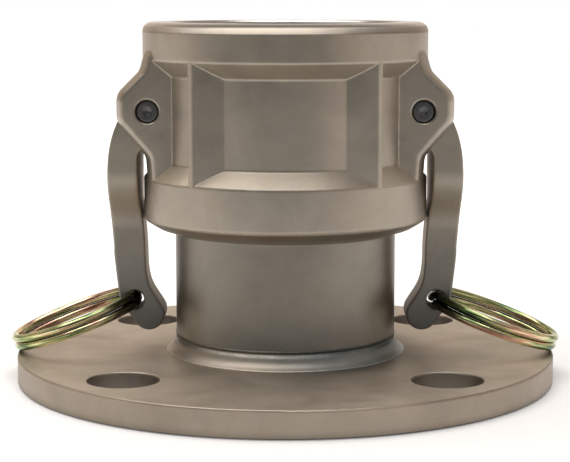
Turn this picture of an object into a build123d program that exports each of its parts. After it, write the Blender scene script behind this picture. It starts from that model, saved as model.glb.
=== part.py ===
from build123d import *
import math
import os

# Flanged cam and groove coupler, 2 inch size, in millimetres.
# The origin is the centre of the flange's underside. +Z runs up the bore to the mouth, the hinge
# pins lie along Y, and the two cam arms hang closed on the +X and -X sides.

# Flange plate
flange_radius = 76.2
flange_thickness = 7.5
flange_edge_break = 0.4
bolt_edge_distance = 15.875
bolt_hole_radius = 9.525
bolt_count = 4
bolt_hole_break = 0.3

# Coupler body: radii
flow_radius = 25.4
neck_radius = 31.2
neck_fit = 0.1
collar_radius = 40.0
collar_underside_radius = 36.3
waist_radius = 35.4
socket_radius = 31.9
socket_relief = 0.5
body_corner = 0.8
underside_corner = 1.5
rim_corner = 2.6
mouth_break = 0.6

# Coupler body: heights, stacked upwards from the end of the neck
neck_recess = 2.5
neck_height = 34.2
collar_undercut_rise = 1.5
collar_underside_rise = 2.3
collar_height = 11.8
slope_height = 4.3
waist_height = 24.3
rim_height = 10.3
lower_land_height = 4.8
mouth_land_height = 12.3

# Front and back ribs: the corners of a block that stand out of the waist
rib_half_width = 25.8
rib_half_depth = 31.5
rib_edge_radius = 0.6

# Weld beads between the neck and the flange
outer_weld_leg_up = 5.2
outer_weld_leg_out = 2.8
inner_weld_leg_in = 3.4
inner_weld_leg_down = 1.9
weld_hollow = 0.18
weld_toe = 0.15

# Gasket and its groove
gasket_outer_radius = 33.35
gasket_width = 7.95
gasket_thickness = 6.35
gasket_edge_radius = 0.5
gasket_seat_above_collar = 3.0
groove_side_play = 0.25
groove_top_play = 0.35

# Hinges
hinge_inset = 2.25
hinge_above_waist = 14.75
pin_radius = 3.175
pin_recess = 0.8
pin_end_break = 0.45
pin_dimple_radius = 1.3
pin_dimple_depth = 0.6
ear_hole_break = 0.35
hinge_play = 0.05
arm_bore_break = 0.3

# Ears: two plates on each side, with the window for the cam between them. Their outer side is
# turned about the bore: it swells round the hinge and draws in to the rim and the collar.
ear_gap = 24.0
ear_thickness = 5.2
ear_edge_radius = 1.5
ear_root_radius = 29.0
ear_foot_inset = 0.1
ear_foot_depth = 1.2
ear_heel_reach = 2.65
ear_heel_above_waist = 2.2
ear_heel_round = 4.0
ear_lug_reach = 10.35
ear_lug_bottom_fall = 2.85
ear_lug_bottom_round = 4.5
ear_lug_top_rise = 4.55
ear_lug_top_round = 5.0
ear_neck_reach = 4.1
ear_neck_below_rim = 2.8
ear_neck_round = 4.0
ear_shoulder_reach = 3.05
ear_shoulder_above_rim = 1.2
ear_shoulder_round = 3.0
ear_tip_reach = 0.45
ear_tip_above_rim = 5.8
window_sill = 2.9
window_height = 21.5
window_corner = 2.0

# Cam arm, measured from the hinge with the arm hanging closed
arm_side_play = 0.4
crown_radius = 5.4
cam_nose_radius = 6.2
cam_nose_in = 3.85
cam_nose_drop = 3.15
cam_face_radius = 28.6
crown_end = 50.0
nose_end = 260.0
tip_start = -28.0
tip_end = -210.0
arm_half_width = 5.75
shoulder_top = 17.0
shoulder_bottom = 34.0
inner_reach = 3.3
knee_drop = 15.5
elbow_radius = 3.0
arm_edge_radius = 0.6
lengthwise_limit = 0.75
level_limit = 0.999

# Cam arm: how far out its back and inner side run at each drop below the hinge, and at each rise
# above the middle of the tip
nape_reach = 7.6
nape_drop = 1.0
back_upper_reach = 9.3
back_upper_drop = 4.5
back_bulge_reach = 11.7
back_bulge_drop = 17.0
grip_drop = 39.0
grip_back_reach = 10.6
grip_inner_reach = 1.75
heel_reach = 9.25
heel_rise = 5.0
heel_lean = 0.12
inner_upper_reach = 2.7
inner_upper_drop = 28.5
toe_inner_reach = 0.45
toe_inner_rise = 7.8
tip_radius = 4.45
tip_reach = 0.95
tip_drop = 58.2

# Hole for the ring in the arm
ring_hole_radius = 2.65
ring_hole_reach = 4.95
ring_hole_rise = 4.25
ring_hole_break = 0.3

# Pull ring: two turns of round wire
ring_mean_radius = 18.4
ring_wire_radius = 1.15
ring_turn_gap = 0.05
ring_rest_gap = 0.2
ring_step_angle = 34.0

# Heights and places worked out from the sizes above
flange_top = flange_thickness
neck_top = flange_top + neck_height
collar_bottom = neck_top + collar_undercut_rise + collar_underside_rise
collar_top = collar_bottom + collar_height
waist_bottom = collar_top + slope_height
waist_top = waist_bottom + waist_height
rim_bottom = waist_top + slope_height
body_top = rim_bottom + rim_height
gasket_seat = collar_bottom + gasket_seat_above_collar
groove_top = gasket_seat + gasket_thickness + groove_top_play
groove_radius = gasket_outer_radius + groove_side_play
relief_radius = socket_radius + socket_relief
relief_bottom = groove_top + lower_land_height
relief_top = body_top - mouth_break - mouth_land_height
flange_bore_radius = neck_radius + neck_fit
bolt_circle_radius = flange_radius - bolt_edge_distance
hinge_reach = collar_radius - hinge_inset
hinge_height = waist_bottom + hinge_above_waist
ear_inner = ear_gap / 2
ear_outer = ear_inner + ear_thickness
head_half_width = ear_inner - arm_side_play
ring_hole_drop = tip_drop - ring_hole_rise


def outline(*corners):
    """A closed flat face from (across, up, rounding) corners."""
    face = make_face(Polyline(*[(across, up) for across, up, _ in corners], close=True))
    for across, up, rounding in corners:
        if rounding > 0:
            corner = face.vertices().sort_by_distance((across, up, 0))[0]
            face = fillet(corner, rounding)
    return face


def turned(face):
    """A face of (radius, height), turned about the bore."""
    return revolve(Plane.XZ * face, Axis.Z)


def across_y(face, low, high):
    """A face of (x, z), made solid from y = low to y = high."""
    return Pos(0, high, 0) * extrude(Plane.XZ * face, high - low)


def opposite(solid):
    """The same piece on the other side of the bore."""
    return Rot(0, 0, 180) * solid


def broken_hole(radius, low, high, edge_break):
    """A round hole along Z from low to high, a little wider at its two mouths."""
    return turned(outline(
        (0, low, 0),
        (radius + edge_break, low, 0),
        (radius, low + edge_break, 0),
        (radius, high - edge_break, 0),
        (radius + edge_break, high, 0),
        (0, high, 0),
    ))


def hole_along_y(radius, half_length, edge_break, x, z):
    """The same kind of hole, lying along Y through the point x, z."""
    return Pos(x, 0, z) * Rot(90, 0, 0) * broken_hole(radius, -half_length, half_length, edge_break)


def flange_plate():
    plate = turned(outline(
        (flange_bore_radius, 0, 0),
        (flange_radius, 0, flange_edge_break),
        (flange_radius, flange_top, flange_edge_break),
        (flange_bore_radius, flange_top, 0),
    ))
    hole = broken_hole(bolt_hole_radius, 0, flange_top, bolt_hole_break)
    half_step = 180 / bolt_count
    return plate - PolarLocations(bolt_circle_radius, bolt_count, half_step) * hole


def weld(corner_radius, corner_height, radial_leg, upright_leg):
    """A bead in the corner of two surfaces, with a slightly hollow face and blunt toes."""
    out = math.copysign(1, radial_leg)
    up = math.copysign(1, upright_leg)
    corner = (corner_radius, corner_height)
    outer_toe = (corner_radius + radial_leg, corner_height)
    outer_lip = (outer_toe[0], corner_height + up * weld_toe)
    upper_toe = (corner_radius, corner_height + upright_leg)
    upper_lip = (corner_radius + out * weld_toe, upper_toe[1])
    middle = (
        corner_radius + radial_leg * (0.5 - weld_hollow),
        corner_height + upright_leg * (0.5 - weld_hollow),
    )
    return turned(make_face([
        Line(corner, outer_toe),
        Line(outer_toe, outer_lip),
        ThreePointArc(outer_lip, middle, upper_lip),
        Line(upper_lip, upper_toe),
        Line(upper_toe, corner),
    ]))


def ear_side():
    """The outer side of the ears, as an outline of (radius, height), from foot to tip."""
    lug_radius = hinge_reach + ear_lug_reach
    foot = collar_top - ear_foot_depth
    tip = rim_bottom + ear_tip_above_rim
    return outline(
        (ear_root_radius, foot, 0),
        (collar_radius - ear_foot_inset, foot, 0),
        (hinge_reach + ear_heel_reach, waist_bottom + ear_heel_above_waist, ear_heel_round),
        (lug_radius, hinge_height - ear_lug_bottom_fall, ear_lug_bottom_round),
        (lug_radius, hinge_height + ear_lug_top_rise, ear_lug_top_round),
        (hinge_reach + ear_neck_reach, rim_bottom - ear_neck_below_rim, ear_neck_round),
        (hinge_reach + ear_shoulder_reach, rim_bottom + ear_shoulder_above_rim, ear_shoulder_round),
        (hinge_reach + ear_tip_reach, tip, 0),
        (ear_root_radius, tip, 0),
    )


def ear():
    """One ear on the front of the +X side, rounded along its outer edge."""
    slab = Rectangle(2 * hinge_reach, ear_thickness, align=(Align.MIN, Align.MAX))
    plate = extrude(Pos(0, -ear_inner) * slab, body_top) & turned(ear_side())
    face = plate.faces().sort_by(Axis.Y)[0]
    outer_edges = [edge for edge in face.edges() if edge.center().X > waist_radius - ear_edge_radius]
    return fillet(outer_edges, ear_edge_radius)


def coupler_body():
    body = turned(outline(
        (flow_radius, neck_recess, 0),
        (neck_radius, neck_recess, 0),
        (neck_radius, neck_top, 0),
        (collar_underside_radius, neck_top + collar_undercut_rise, underside_corner),
        (collar_radius, collar_bottom, underside_corner),
        (collar_radius, collar_top, body_corner),
        (waist_radius, waist_bottom, body_corner),
        (waist_radius, waist_top, body_corner),
        (collar_radius, rim_bottom, body_corner),
        (collar_radius, body_top, rim_corner),
        (flow_radius, body_top, 0),
    ))
    ribs = Rectangle(2 * rib_half_width, 2 * rib_half_depth) & Circle(collar_radius)
    ribs = fillet(ribs.vertices(), rib_edge_radius)
    block = Pos(0, 0, collar_top) * extrude(ribs, rim_bottom - collar_top)
    front_ear = ear()
    side_ears = front_ear + mirror(front_ear, Plane.XZ)
    body = body + block + side_ears + opposite(side_ears)
    body -= turned(outline(
        (0, gasket_seat, 0),
        (groove_radius, gasket_seat, 0),
        (groove_radius, groove_top, 0),
        (socket_radius, groove_top, 0),
        (socket_radius, relief_bottom, 0),
        (relief_radius, relief_bottom + socket_relief, 0),
        (relief_radius, relief_top - socket_relief, 0),
        (socket_radius, relief_top, 0),
        (socket_radius, body_top - mouth_break, 0),
        (socket_radius + mouth_break, body_top, 0),
        (0, body_top, 0),
    ))
    body -= Pos(0, 0, neck_recess) * extrude(Circle(flow_radius), gasket_seat - neck_recess)
    sill = waist_bottom + window_sill
    window = Plane.YZ * Pos(0, sill + window_height / 2) * RectangleRounded(
        ear_gap, window_height, window_corner)
    cut = extrude(window, collar_radius + ear_outer)
    cut += hole_along_y(pin_radius, ear_outer, ear_hole_break, hinge_reach, hinge_height)
    return body - cut - opposite(cut)


def gasket():
    return turned(outline(
        (gasket_outer_radius - gasket_width, gasket_seat, gasket_edge_radius),
        (gasket_outer_radius, gasket_seat, gasket_edge_radius),
        (gasket_outer_radius, gasket_seat + gasket_thickness, gasket_edge_radius),
        (gasket_outer_radius - gasket_width, gasket_seat + gasket_thickness, gasket_edge_radius),
    ))


def hinge_pin():
    """A turned pin, a little short of the ears' outer faces, with a centre dimple in each end."""
    half = ear_outer - pin_recess
    profile = outline(
        (0, -half + pin_dimple_depth, 0),
        (pin_dimple_radius, -half, 0),
        (pin_radius - pin_end_break, -half, 0),
        (pin_radius, -half + pin_end_break, 0),
        (pin_radius, half - pin_end_break, 0),
        (pin_radius - pin_end_break, half, 0),
        (pin_dimple_radius, half, 0),
        (0, half - pin_dimple_depth, 0),
    )
    return Pos(hinge_reach, 0, hinge_height) * Rot(90, 0, 0) * turned(profile)


def on_circle(centre, radius, angle):
    """The point at an angle, in degrees, on a circle."""
    turn = math.radians(angle)
    return (centre[0] + radius * math.cos(turn), centre[1] + radius * math.sin(turn))


def heading(angle):
    """The direction of travel clockwise round a circle at an angle, in degrees."""
    turn = math.radians(angle)
    return (math.sin(turn), -math.cos(turn))


def arm_side_view():
    """The arm seen from the front, hinge at the origin: crown, back, tip, inner side and cam."""
    hinge = (0, 0)
    nose = (-cam_nose_in, -cam_nose_drop)
    tip = (tip_reach, -tip_drop)
    nose_angle = 360 + math.degrees(math.atan2(nose[1], nose[0]))
    spread = math.degrees(math.acos((crown_radius - cam_nose_radius) / math.hypot(*nose)))
    flank = nose_angle - spread
    crown_arc = ThreePointArc(
        on_circle(hinge, crown_radius, flank),
        on_circle(hinge, crown_radius, (flank + crown_end) / 2),
        on_circle(hinge, crown_radius, crown_end),
    )
    heel = (heel_reach, heel_rise - tip_drop)
    heel_heading = (-heel_lean, -1)
    back = Spline(
        on_circle(hinge, crown_radius, crown_end),
        (nape_reach, -nape_drop),
        (back_upper_reach, -back_upper_drop),
        (back_bulge_reach, -back_bulge_drop),
        (grip_back_reach, -grip_drop),
        heel,
        tangents=[heading(crown_end), heel_heading],
    )
    toe = Spline(
        heel,
        on_circle(tip, tip_radius, tip_start),
        tangents=[heel_heading, heading(tip_start)],
    )
    tip_arc = ThreePointArc(
        on_circle(tip, tip_radius, tip_start),
        on_circle(tip, tip_radius, (tip_start + tip_end) / 2),
        on_circle(tip, tip_radius, tip_end),
    )
    knee = (inner_reach, -knee_drop)
    inner = Spline(
        on_circle(tip, tip_radius, tip_end),
        (toe_inner_reach, toe_inner_rise - tip_drop),
        (grip_inner_reach, -grip_drop),
        (inner_upper_reach, -inner_upper_drop),
        knee,
        tangents=[heading(tip_end), (0, 1)],
    )
    nose_foot = on_circle(nose, cam_nose_radius, nose_end)
    slope = math.tan(math.radians(nose_end - 270))
    elbow = (inner_reach, nose_foot[1] + slope * (inner_reach - nose_foot[0]))
    under = FilletPolyline(knee, elbow, nose_foot, radius=elbow_radius)
    nose_arc = ThreePointArc(
        on_circle(nose, cam_nose_radius, nose_end),
        on_circle(nose, cam_nose_radius, (nose_end + flank) / 2),
        on_circle(nose, cam_nose_radius, flank),
    )
    top = Line(on_circle(nose, cam_nose_radius, flank), on_circle(hinge, crown_radius, flank))
    return make_face([crown_arc, back, toe, tip_arc, inner, under, nose_arc, top])


def arm_front_view():
    """The arm seen from its back: the wide head, hollow shoulders and the narrow grip."""
    top = 2 * crown_radius
    foot = -(tip_drop + 2 * tip_radius)
    sides = []
    for side in (1, -1):
        head = (side * head_half_width, -shoulder_top)
        grip = (side * arm_half_width, -shoulder_bottom)
        sides.append(Line((side * head_half_width, top), head))
        sides.append(Spline(head, grip, tangents=[(0, -1), (0, -1)]))
        sides.append(Line(grip, (side * arm_half_width, foot)))
    sides.append(Line((head_half_width, top), (-head_half_width, top)))
    sides.append(Line((arm_half_width, foot), (-arm_half_width, foot)))
    return make_face(sides)


def runs_lengthwise(edge):
    """Whether an edge of the arm follows its outline, neither across its back nor through it."""
    middle = edge.tangent_at(0.5)
    return abs(middle.Y) < lengthwise_limit and abs(middle.X) < level_limit


def cam_arm():
    """The +X arm, hanging closed with its nose through the window."""
    reach = 2 * hinge_reach
    arm = extrude(Plane.XZ * arm_side_view(), head_half_width, both=True)
    arm = arm & extrude(Plane.YZ * arm_front_view(), reach, both=True)
    sides = [edge for edge in arm.edges() if abs(edge.center().Y) > arm_half_width - arm_edge_radius]
    arm = fillet([edge for edge in sides if runs_lengthwise(edge)], arm_edge_radius)
    arm = Pos(hinge_reach, 0, hinge_height) * arm
    arm -= extrude(Circle(cam_face_radius), body_top)
    arm -= hole_along_y(
        pin_radius + hinge_play, head_half_width, arm_bore_break, hinge_reach, hinge_height)
    return arm - hole_along_y(
        ring_hole_radius, arm_half_width, ring_hole_break,
        hinge_reach + ring_hole_reach, hinge_height - ring_hole_drop)


def pull_ring():
    """A split ring of two turns that runs through the hole of the +X arm and rests on the flange.

    Its wire steps from one turn to the next inside the arm's hole.
    """
    pitch = 2 * ring_wire_radius + ring_turn_gap
    inner = ring_mean_radius - ring_wire_radius
    outer = ring_mean_radius + ring_wire_radius
    near = math.sqrt(inner ** 2 - arm_half_width ** 2)
    hole_to_centre = (near + outer) / 2
    length = hole_to_centre + ring_mean_radius
    drop = hinge_height - ring_hole_drop - (flange_top + ring_rest_gap + ring_wire_radius)
    tilt = math.asin(drop / math.hypot(length, pitch / 2)) - math.atan2(pitch / 2, length)
    along = (math.cos(tilt), 0, -math.sin(tilt))
    normal = (math.sin(tilt), 0, math.cos(tilt))
    hole = Vector(hinge_reach + ring_hole_reach, 0, hinge_height - ring_hole_drop)
    frame = Plane(hole + Vector(*along) * hole_to_centre, x_dir=along, z_dir=normal)
    step = math.radians(ring_step_angle)

    def at(turn, height):
        return (ring_mean_radius * math.cos(turn), ring_mean_radius * math.sin(turn), height)

    start = math.pi + step / 2
    section = Plane(at(start, -pitch / 2), z_dir=(-math.sin(start), math.cos(start), 0))
    lower = revolve(section * Circle(ring_wire_radius), Axis.Z, 360 - ring_step_angle)
    upper = Pos(0, 0, pitch) * lower
    leave, arrive = at(start - step, -pitch / 2), at(start, pitch / 2)
    link_path = Spline(
        leave, arrive,
        tangents=[
            (-math.sin(start - step), math.cos(start - step), 0),
            (-math.sin(start), math.cos(start), 0),
        ],
    )
    link = sweep(Plane(leave, z_dir=link_path % 0) * Circle(ring_wire_radius), link_path)
    return frame.location * (lower + link + upper)


def main():
    nodes = {
        "flange_plate": flange_plate(),
        "coupler_body": coupler_body(),
        "outer_weld": weld(neck_radius, flange_top, outer_weld_leg_out, outer_weld_leg_up),
        "inner_weld": weld(flange_bore_radius, neck_recess, -inner_weld_leg_in, -inner_weld_leg_down),
        "gasket": gasket(),
        "right_pin": hinge_pin(),
        "left_pin": opposite(hinge_pin()),
        "right_cam_arm": cam_arm(),
        "left_cam_arm": opposite(cam_arm()),
        "right_pull_ring": pull_ring(),
        "left_pull_ring": opposite(pull_ring()),
    }
    os.makedirs("parts", exist_ok=True)
    for name, solid in nodes.items():
        export_step(solid, f"parts/{name}.step")


main()
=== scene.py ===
import math
from typing import NamedTuple

import bpy
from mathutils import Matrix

# Looks of the flanged cam and groove coupler. Sizes are in metres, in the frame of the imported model,
# and colours are linear red, green and blue.

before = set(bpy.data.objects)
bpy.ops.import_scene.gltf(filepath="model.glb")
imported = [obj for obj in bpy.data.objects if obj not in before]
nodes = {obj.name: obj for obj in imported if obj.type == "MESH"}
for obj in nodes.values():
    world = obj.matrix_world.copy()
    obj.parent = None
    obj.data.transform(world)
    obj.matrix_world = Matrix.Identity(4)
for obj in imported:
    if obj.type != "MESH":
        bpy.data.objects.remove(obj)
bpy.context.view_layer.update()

# Places on the model that the paint needs: radii and reaches from the bore, and heights
flange_edge = 0.0757
bolt_place = 0.04266
bolt_hole = 0.00972
# Reaches of the painted shade by the weld: on the plate, on the bead and low on the neck
weld_foot, weld_shade_middle, weld_shade_end = 0.0340, 0.0375, 0.0440
weld_shade_turn = 0.015
weld_lower, weld_upper = 0.0098, 0.0112
weld_blue_start, weld_blue_full = -0.005, 0.010
neck_shade_low, neck_shade_high = 0.0110, 0.0240
neck_shade_narrow, neck_shade_wide = 0.010, 0.026
neck_top = 0.0418
ledge_reach, ledge_low, ledge_high = 0.0258, 0.048, 0.064
hinge_reach, hinge_height = 0.03775, 0.07635
pin_hole, pin_hole_mouth = 0.0034, 0.0038
bevel_reach = 0.0372
grip_dark, grip_light = 0.018, 0.048
ring_hole_reach, ring_hole_height = 0.0427, 0.0224
ring_hole_dark, ring_hole_light = 0.0035, 0.0130
ring_centre, ring_height = 0.05952, 0.01626
ring_tilt = math.radians(20.05)

# Machined metal lies inside each of these radii and above the height beside it: the flow way, the
# socket and the flat face of the rim
machined_zones = [(0.027, 0.0), (0.0345, 0.047), (0.0400, 0.0996)]

# The rim's bevel and the turn to its flat face, as heights times bevel_scale. The ramps are tables of
# 256 levels from 0 to 1, so stops closer than 0.004 are spread over that distance.
bevel_scale = 10.0
bevel_foot, bevel_full = 0.9770, 0.9785
bevel_top, face_start = 0.9950, 0.9962

# A ramp takes 0 to 1, so a place to the left or right of the bore is raised by this first
middle = 0.5


# Node helpers

class Tone(NamedTuple):
    """Where the mask is 1 the colour is multiplied by the tint and the roughness by the smoothing."""
    where: bpy.types.NodeSocket
    tint: tuple
    smoothing: float = 1.0


class Tree:
    """A short way to add and join the nodes of one material or world."""

    def __init__(self, owner):
        owner.use_nodes = True
        self.tree = owner.node_tree
        self.tree.nodes.clear()

    def add(self, kind, inputs=None, **settings):
        node = self.tree.nodes.new(kind)
        for name, value in settings.items():
            setattr(node, name, value)
        for name, value in (inputs or {}).items():
            self.put(node.inputs[name], value)
        return node

    def put(self, socket, value):
        if isinstance(value, bpy.types.NodeSocket):
            self.tree.links.new(value, socket)
        else:
            socket.default_value = value

    def math(self, operation, *values):
        node = self.add("ShaderNodeMath", operation=operation)
        for socket, value in zip(node.inputs, values):
            self.put(socket, value)
        return node.outputs[0]

    def product(self, first, *others):
        for other in others:
            first = self.math("MULTIPLY", first, other)
        return first

    def vector_math(self, operation, *values):
        node = self.add("ShaderNodeVectorMath", operation=operation)
        for socket, value in zip(node.inputs, values):
            self.put(socket, value)
        return node

    def dot(self, a, b):
        return self.vector_math("DOT_PRODUCT", a, b).outputs["Value"]

    def ramp(self, value, stops):
        """A map of a value through (position, level or colour) stops."""
        node = self.add("ShaderNodeValToRGB", {"Fac": value})
        elements = node.color_ramp.elements
        while len(elements) < len(stops):
            elements.new(0.5)
        for element, (position, level) in zip(elements, stops):
            element.position = position
            colour = level if isinstance(level, tuple) else (level, level, level)
            element.color = (*colour, 1)
        return node.outputs["Color"]

    def rise(self, value, start, end):
        """0 up to start, 1 from end on."""
        return self.ramp(value, [(start, 0.0), (end, 1.0)])

    def fall(self, value, start, end):
        """1 up to start, 0 from end on."""
        return self.ramp(value, [(start, 1.0), (end, 0.0)])

    def mix(self, factor, a, b, blend="MIX"):
        node = self.add("ShaderNodeMix", data_type="RGBA", blend_type=blend)
        self.put(node.inputs[0], factor)
        for socket, value in ((node.inputs[6], a), (node.inputs[7], b)):
            self.put(socket, (*value, 1) if isinstance(value, tuple) else value)
        return node.outputs[2]

    def mix_vectors(self, factor, a, b):
        node = self.add("ShaderNodeMix", data_type="VECTOR")
        for socket, value in ((node.inputs[0], factor), (node.inputs[4], a), (node.inputs[5], b)):
            self.put(socket, value)
        return node.outputs[1]

    def tinted(self, where, base, tint):
        return self.mix(where, base, self.mix(1.0, base, tint, "MULTIPLY"))

    def noise(self, place, scale, detail=3.0, roughness=0.55, distortion=0.0):
        node = self.add("ShaderNodeTexNoise", {
            "Vector": place, "Scale": scale, "Detail": detail,
            "Roughness": roughness, "Distortion": distortion,
        })
        return node.outputs["Fac"]

    def coordinates(self, kind="Object"):
        return self.add("ShaderNodeTexCoord").outputs[kind]

    def split(self, vector):
        parts = self.add("ShaderNodeSeparateXYZ", {"Vector": vector})
        return parts.outputs["X"], parts.outputs["Y"], parts.outputs["Z"]

    def xyz(self):
        return self.split(self.coordinates())

    def normal(self):
        """The surface's normal in the shared frame. coordinates("Normal") has it in the piece's own."""
        return self.add("ShaderNodeNewGeometry").outputs["Normal"]

    def place(self, offset=(0, 0, 0)):
        mapping = self.add("ShaderNodeMapping", {"Vector": self.coordinates(), "Location": offset})
        return mapping.outputs["Vector"]

    def ring(self, u, v, centre_u=0.0, centre_v=0.0):
        """The distance of (u, v) from a centre."""
        across = self.math("SUBTRACT", u, centre_u)
        along = self.math("SUBTRACT", v, centre_v)
        square = self.math(
            "ADD", self.math("MULTIPLY", across, across), self.math("MULTIPLY", along, along))
        return self.math("SQRT", square)

    def background_rays(self):
        """1 for the rays that look at the background: straight, in a reflection and through glass."""
        paths = self.add("ShaderNodeLightPath").outputs
        mirrored = self.math("MAXIMUM", paths["Is Glossy Ray"], paths["Is Transmission Ray"])
        return self.math("MAXIMUM", paths["Is Camera Ray"], mirrored)

    def surface(self, inputs):
        shader = self.add("ShaderNodeBsdfPrincipled", inputs)
        self.add("ShaderNodeOutputMaterial", {"Surface": shader.outputs["BSDF"]})


def scaled(colour, *factors):
    """A colour times one factor, or times one for each channel, with 1 as the limit."""
    factors = factors if len(factors) > 1 else factors * 3
    return tuple(min(1.0, level * factor) for level, factor in zip(colour, factors))


# Materials

def blasted_steel(
        name, colour, smoothest, roughest, grain=1.0, seed=0.0, machined=(), tones=None, lean=None):
    """Blasted or pickled steel: fine grain, soft stains, worn edges with a painted highlight.

    machined lists (radius, lowest height): inside that radius and above that height the metal is turned.
    tones gives the places with another tint, and can build on the stains. lean gives the normal of a
    turned bevel and where it lies.
    """
    material = bpy.data.materials.new(name)
    t = Tree(material)
    place = t.place(offset=(seed, seed * 0.7, seed * 0.3))
    t.stains = t.noise(place, scale=55, detail=4, roughness=0.6, distortion=0.4)
    clouds = t.noise(place, scale=150, detail=3, roughness=0.55)
    fine = t.noise(place, scale=1500, detail=3, roughness=0.7)
    coarse = t.noise(place, scale=420, detail=3, roughness=0.6)
    specks = t.add("ShaderNodeTexVoronoi", {"Vector": place, "Scale": 240.0})
    sparse = t.rise(t.noise(place, scale=90, detail=2), 0.56, 0.66)
    speck = t.product(t.fall(specks.outputs["Distance"], 0.0, 0.09), sparse)

    dark, light, warm = scaled(colour, 0.80), scaled(colour, 1.17), scaled(colour, 1.05, 0.99, 0.90)
    base = t.mix(t.rise(t.stains, 0.3, 0.7), dark, light)
    base = t.mix(t.ramp(clouds, [(0.42, 0.0), (0.72, 0.45)]), base, warm)
    base = t.mix(t.ramp(fine, [(0.35, 0.0), (0.7, 0.35)]), base, light)
    base = t.mix(t.product(speck, 0.45), base, scaled(colour, 0.45))

    # An edge is where the normal of a bevel leaves the surface's own
    bevel = t.add("ShaderNodeBevel", {"Radius": 0.0007}, samples=6).outputs["Normal"]
    agree = t.dot(bevel, t.normal())
    wear_and_highlight = t.ramp(coarse, [(0.35, 0.25), (0.6, 1.0)])
    edge = t.product(t.fall(agree, 0.90, 0.995), wear_and_highlight)
    # Edges are lighter: wear, and a painted highlight on their rounding
    base = t.mix(t.product(edge, 0.55), base, scaled(colour, 1.75))

    rough = t.math("MULTIPLY_ADD", t.stains, roughest - smoothest, smoothest)
    rough = t.math("MULTIPLY_ADD", fine, 0.12, rough)
    rough = t.math("SUBTRACT", rough, t.product(edge, 0.10))
    height = t.math("MULTIPLY_ADD", coarse, 0.55, t.product(fine, 0.45))
    height = t.math("SUBTRACT", height, t.product(speck, 0.5))

    if machined:
        x, y, z = t.xyz()
        radius = t.ring(x, y)
        bore = 0.0
        for limit, lowest in machined:
            inside = t.math("LESS_THAN", radius, limit)
            above = t.math("GREATER_THAN", z, lowest)
            bore = t.math("MAXIMUM", bore, t.product(inside, above))
        lines = t.add("ShaderNodeTexNoise", {"Scale": 2600.0, "Detail": 2.0}, noise_dimensions="1D")
        t.put(lines.inputs["W"], z)
        ridge = lines.outputs["Fac"]
        base = t.mix(bore, base, t.mix(ridge, (0.42, 0.40, 0.37), (0.62, 0.60, 0.57)))
        cast_part = t.product(rough, t.math("SUBTRACT", 1.0, bore))
        turned_part = t.product(t.math("MULTIPLY_ADD", ridge, 0.14, 0.16), bore)
        rough = t.math("ADD", cast_part, turned_part)

    for tone in (tones(t) if tones else ()):
        base = t.tinted(tone.where, base, tone.tint)
        rough = t.product(rough, t.math("MULTIPLY_ADD", tone.where, tone.smoothing - 1.0, 1.0))

    normal = bevel
    if lean:
        leaning, where = lean(t)
        normal = t.mix_vectors(where, normal, leaning)
    bump = t.add("ShaderNodeBump", {
        "Height": height, "Strength": 0.34 * grain, "Distance": 0.00012, "Normal": normal,
    })
    t.surface({
        "Base Color": base, "Metallic": 1.0, "Roughness": rough, "Normal": bump.outputs["Normal"],
    })
    return material


def body_tones(t):
    """Painted shade on the neck, low by the weld and in the pin holes, painted light on the ledges."""
    x, _, z = t.xyz()
    wide = t.math("ABSOLUTE", x)
    # Painted shade: the whole neck is darker and a little bluer
    neck = t.math("LESS_THAN", z, neck_top)
    # Painted shade: the neck low down by the weld is darker and bluer, most in its middle
    towards_viewer = t.ramp(wide, [(neck_shade_narrow, 1.0), (neck_shade_wide, 0.25)])
    shade_near_weld = t.product(t.fall(z, neck_shade_low, neck_shade_high), towards_viewer)
    # Painted shade: the pin holes and their mouths are dark
    hole_shade = t.fall(t.ring(wide, z, hinge_reach, hinge_height), pin_hole, pin_hole_mouth)
    # Painted light: the upward faces of the ledges beside the ears are lighter and smoother
    _, _, upwards = t.split(t.normal())
    ledge_light = t.product(
        t.rise(upwards, 0.25, 0.55), t.math("GREATER_THAN", wide, ledge_reach),
        t.math("GREATER_THAN", z, ledge_low), t.math("LESS_THAN", z, ledge_high))
    return [
        Tone(neck, (0.70, 0.725, 0.735)),
        Tone(shade_near_weld, (0.74, 0.82, 0.90)),
        Tone(hole_shade, (0.22, 0.22, 0.23)),
        Tone(ledge_light, (1.55, 1.55, 1.50), smoothing=1.25),
    ]


def rim_bevel(t):
    """The rim's outer corner is turned to a bevel of 45 degrees, and its upper face is turned flat."""
    x, y, z = t.xyz()
    radius = t.ring(x, y)
    height = t.product(z, bevel_scale)
    cone = t.add("ShaderNodeCombineXYZ", {
        "X": t.math("DIVIDE", x, radius), "Y": t.math("DIVIDE", y, radius), "Z": 1.0,
    }).outputs[0]
    leaning = t.mix_vectors(t.rise(height, bevel_top, face_start), cone, (0.0, 0.0, 1.0))
    outer = t.math("GREATER_THAN", radius, bevel_reach)
    where = t.product(t.rise(height, bevel_foot, bevel_full), outer)
    return t.vector_math("NORMALIZE", leaning).outputs[0], where


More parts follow.
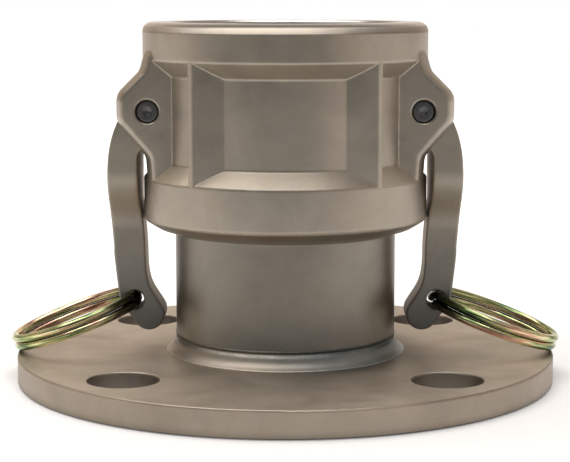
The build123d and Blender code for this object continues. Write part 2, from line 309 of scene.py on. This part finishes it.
def plate_tones(t):
    """Painted shade on the edge, in the bolt holes and by the weld's foot; what lies close shades it."""
    x, y, _ = t.xyz()
    radius = t.ring(x, y)
    # Painted shade: the plate's rim is darker than its top
    edge = t.math("GREATER_THAN", radius, flange_edge)
    # Painted shadow of the weld on the plate: a dark band at its foot, strongest on the right and uneven
    near = t.ramp(radius, [(weld_foot, 1.0), (weld_shade_middle, 0.55), (weld_shade_end, 0.0)])
    right = t.ramp(
        t.math("ADD", x, middle), [(middle - weld_shade_turn, 0.25), (middle + weld_shade_turn, 1.0)])
    uneven = t.ramp(t.stains, [(0.3, 0.6), (0.7, 1.0)])
    shade_near_weld = t.product(near, right, uneven)
    contact = t.add("ShaderNodeAmbientOcclusion", {"Distance": 0.005}, samples=8)
    shade = t.fall(contact.outputs["AO"], 0.30, 0.75)
    # Painted shade: the bolt holes are darker inside
    hole_shade = t.ring(t.math("ABSOLUTE", x), t.math("ABSOLUTE", y), bolt_place, bolt_place)
    hole_shade = t.math("LESS_THAN", hole_shade, bolt_hole)
    return [
        Tone(edge, (0.72, 0.70, 0.68), smoothing=0.85),
        Tone(shade_near_weld, (0.34, 0.38, 0.40)),
        Tone(shade, (0.30, 0.31, 0.33)),
        Tone(hole_shade, (0.50, 0.50, 0.50)),
    ]


def bead_tones(t):
    """Painted shade: the bead's upper half is darker, and its right side darker and bluer."""
    x, _, z = t.xyz()
    upper = t.rise(z, weld_lower, weld_upper)
    right = t.rise(t.math("ADD", x, middle), middle + weld_blue_start, middle + weld_blue_full)
    return [
        Tone(upper, (0.42, 0.46, 0.48), smoothing=1.1),
        Tone(right, (0.70, 0.80, 0.90)),
    ]


def lever_tones(t):
    """Painted shade on the grip, most at the tip, and painted light on the side towards the body."""
    x, _, z = t.xyz()
    # Painted shade: the lower arm is darker and bluer towards the tip
    grip_shade = t.fall(z, grip_dark, grip_light)
    # Painted light: the sides turned towards the body are lighter and smoother
    sideways, _, _ = t.split(t.coordinates("Normal"))
    inwards = t.product(sideways, t.math("SUBTRACT", 0.0, t.math("SIGN", x)))
    inner_side_light = t.rise(inwards, 0.15, 0.55)
    return [
        Tone(grip_shade, (0.50, 0.56, 0.63)),
        Tone(inner_side_light, (1.75, 1.62, 1.50), smoothing=1.3),
    ]


def rubber(name):
    material = bpy.data.materials.new(name)
    t = Tree(material)
    place = t.place()
    fine = t.noise(place, scale=1800, detail=2)
    soft = t.noise(place, scale=130, detail=3)
    bump = t.add("ShaderNodeBump", {"Height": fine, "Strength": 0.2, "Distance": 0.0001})
    t.surface({
        "Base Color": t.mix(soft, (0.014, 0.014, 0.015), (0.034, 0.033, 0.032)),
        "Roughness": t.math("MULTIPLY_ADD", soft, 0.2, 0.5), "Normal": bump.outputs["Normal"],
    })
    return material


def yellow_zinc(name, side, seed):
    """Chromate over zinc: gold wire with olive, cream and salmon bands drawn out along it.

    side is 1 for the ring at +X and -1 for the one at -X. The bands follow the ring's own round frame.
    Painted shade darkens the wire where it goes through the arm and in the crease between its turns.
    """
    band_scale = 700.0
    material = bpy.data.materials.new(name)
    t = Tree(material)
    centred = t.vector_math("SUBTRACT", t.coordinates(), (side * ring_centre, 0.0, ring_height))
    level = t.add("ShaderNodeVectorRotate", {
        "Vector": centred.outputs[0], "Angle": -side * ring_tilt,
    }, rotation_type="Y_AXIS")
    x, y, z = t.split(level.outputs[0])
    bands_at = t.add("ShaderNodeCombineXYZ", {
        "X": t.math("MULTIPLY_ADD", t.ring(x, y), band_scale, seed),
        "Y": t.math("ARCTAN2", y, x), "Z": t.product(z, band_scale),
    })
    bands = t.noise(bands_at.outputs[0], scale=1.1, detail=3, roughness=0.6, distortion=0.4)
    place = t.place(offset=(seed, 0, seed))
    drift = t.noise(place, scale=60, detail=2, roughness=0.5, distortion=0.6)
    fine = t.noise(place, scale=900, detail=2)
    hue = t.math("MULTIPLY_ADD", bands, 0.75, t.product(drift, 0.28))
    base = t.ramp(hue, [
        (0.38, (0.06, 0.10, 0.05)), (0.45, (0.24, 0.33, 0.13)), (0.50, (0.52, 0.56, 0.26)),
        (0.55, (0.86, 0.78, 0.50)), (0.61, (0.80, 0.46, 0.34)), (0.68, (0.26, 0.13, 0.10)),
    ])
    across, _, high = t.xyz()
    # Painted shade: the wire is dark near the hole in the arm
    gap = t.ring(t.math("ABSOLUTE", across), high, ring_hole_reach, ring_hole_height)
    base = t.tinted(t.fall(gap, ring_hole_dark, ring_hole_light), base, (0.17, 0.21, 0.22))
    # Painted shade in the crease between the wire's two turns
    crease_shade = t.add("ShaderNodeAmbientOcclusion", {"Distance": 0.0016}, samples=8, only_local=True)
    base = t.tinted(t.fall(crease_shade.outputs["AO"], 0.25, 0.75), base, (0.16, 0.12, 0.09))
    bump = t.add("ShaderNodeBump", {"Height": fine, "Strength": 0.08, "Distance": 0.0001})
    t.surface({
        "Base Color": base, "Metallic": 1.0,
        "Roughness": t.math("MULTIPLY_ADD", drift, 0.14, 0.13), "Normal": bump.outputs["Normal"],
    })
    return material


def dress(material, *names):
    for name in names:
        mesh = nodes[name].data
        mesh.materials.clear()
        mesh.materials.append(material)


dress(blasted_steel(
    "cast_steel", (0.39, 0.35, 0.298), smoothest=0.32, roughest=0.44, seed=0.3,
    machined=machined_zones, tones=body_tones, lean=rim_bevel), "coupler_body")
dress(blasted_steel(
    "flange_steel", (0.50, 0.442, 0.373), smoothest=0.40, roughest=0.54, grain=0.6, seed=1.7,
    tones=plate_tones), "flange_plate")
dress(blasted_steel(
    "arm_steel", (0.35, 0.318, 0.27), smoothest=0.34, roughest=0.48, seed=2.9,
    tones=lever_tones), "left_cam_arm", "right_cam_arm")
dress(blasted_steel(
    "weld_metal", (0.48, 0.434, 0.375), smoothest=0.34, roughest=0.46, grain=0.5, seed=4.1,
    tones=bead_tones), "outer_weld", "inner_weld")
dress(blasted_steel(
    "pin_steel", (0.12, 0.12, 0.125), smoothest=0.30, roughest=0.42, grain=0.6, seed=5.3),
    "left_pin", "right_pin")
dress(rubber("gasket_rubber"), "gasket")
dress(yellow_zinc("left_ring_zinc", side=-1, seed=0.2), "left_pull_ring")
dress(yellow_zinc("right_ring_zinc", side=1, seed=3.3), "right_pull_ring")


# Camera

def in_scene(name, data):
    thing = bpy.data.objects.new(name, data)
    bpy.context.scene.collection.objects.link(thing)
    return thing


camera_fall = 7.839
camera_data = bpy.data.cameras.new("camera")
camera = in_scene("camera", camera_data)
camera_data.sensor_width = 36.0
camera_data.lens = 108.75
camera_data.clip_start = 0.02
camera_data.clip_end = 20.0
camera.location = (-0.0001, -0.486463, 0.108214)
camera.rotation_euler = (math.radians(90 - camera_fall), 0, 0)
bpy.context.scene.camera = camera


# Floor: pale paper with the object's shadow on it, white to the camera in the distance

def paper_floor():
    side, front, back, height = 1.6, -0.31, 2.0, -0.0002
    near_radius, near_glow = 0.10, 0.25
    far_radius, far_glow = 0.60, 0.90
    corners = [
        (-side, front, height), (side, front, height), (side, back, height), (-side, back, height)]
    mesh = bpy.data.meshes.new("floor")
    mesh.from_pydata(corners, [], [(0, 1, 2, 3)])
    paper = in_scene("floor", mesh)
    material = bpy.data.materials.new("floor_paper")
    t = Tree(material)
    x, y, _ = t.xyz()
    far = t.ramp(t.ring(x, y), [(near_radius, near_glow), (far_radius, far_glow)])
    colour = t.mix(t.noise(t.place(), scale=400, detail=2), (0.74, 0.74, 0.74), (0.78, 0.78, 0.78))
    diffuse = t.add("ShaderNodeBsdfDiffuse", {"Color": colour})
    glow = t.add("ShaderNodeEmission", {
        "Color": (1, 1, 1, 1), "Strength": t.product(t.background_rays(), far),
    })
    both = t.add("ShaderNodeAddShader")
    t.put(both.inputs[0], diffuse.outputs[0])
    t.put(both.inputs[1], glow.outputs[0])
    t.add("ShaderNodeOutputMaterial", {"Surface": both.outputs[0]})
    mesh.materials.append(material)


paper_floor()


# World: a dim room with its dark side turned a little to the left of the camera, warm walls at both
# sides, a lighter one at the back and a dim ceiling. The camera sees white instead, and so does
# metal that mirrors the backdrop.

def studio_world():
    front_turn = math.radians(17)
    front_axis = (-math.sin(front_turn), -math.cos(front_turn), 0.0)
    world = bpy.data.worlds.new("studio")
    bpy.context.scene.world = world
    t = Tree(world)
    direction = t.coordinates("Generated")
    right, back, up = t.split(direction)

    front = t.rise(t.dot(direction, front_axis), 0.30, 0.75)
    wall_level = t.ramp(back, [(0.10, 0.67), (0.30, 0.58), (0.78, 0.58), (0.92, 1.0)])
    rightness = t.rise(t.math("MULTIPLY_ADD", right, 0.5, middle), 0.2, 0.8)
    wall_colour = t.mix(rightness, (0.92, 0.735, 0.57), (0.92, 0.785, 0.68))
    walls = t.mix(1.0, wall_colour, wall_level, "MULTIPLY")
    walls = t.mix(front, walls, (0.13, 0.135, 0.13))
    room_colour = t.mix(t.rise(up, 0.45, 0.80), walls, (0.33, 0.32, 0.31))
    room = t.add("ShaderNodeBackground", {"Color": room_colour, "Strength": 1.0})

    white = t.add("ShaderNodeBackground", {"Color": (1, 1, 1, 1), "Strength": 1.0})
    behind = t.rise(back, 0.80, 0.90)
    low = t.fall(up, 0.03, 0.12)
    backdrop = t.product(behind, low, t.background_rays())
    seen = t.math("MAXIMUM", backdrop, t.add("ShaderNodeLightPath").outputs["Is Camera Ray"])
    mixed = t.add("ShaderNodeMixShader", {"Fac": seen})
    t.put(mixed.inputs[1], room.outputs[0])
    t.put(mixed.inputs[2], white.outputs[0])
    t.add("ShaderNodeOutputWorld", {"Surface": mixed.outputs[0]})


studio_world()


# Lamp: a soft box overhead, aimed straight down as a lamp is by itself. Its brightness is its watts
# over pi and its area.

box_width, box_depth, box_radiance = 0.98, 0.96, 2.8
box = bpy.data.lights.new("top_box", "AREA")
box.shape = "RECTANGLE"
box.size = box_width
box.size_y = box_depth
box.energy = box_radiance * math.pi * box_width * box_depth
box.color = (1.0, 0.96, 0.93)
in_scene("top_box", box).location = (-0.20, -0.02, 0.85)

bpy.context.scene.view_settings.view_transform = "Standard"
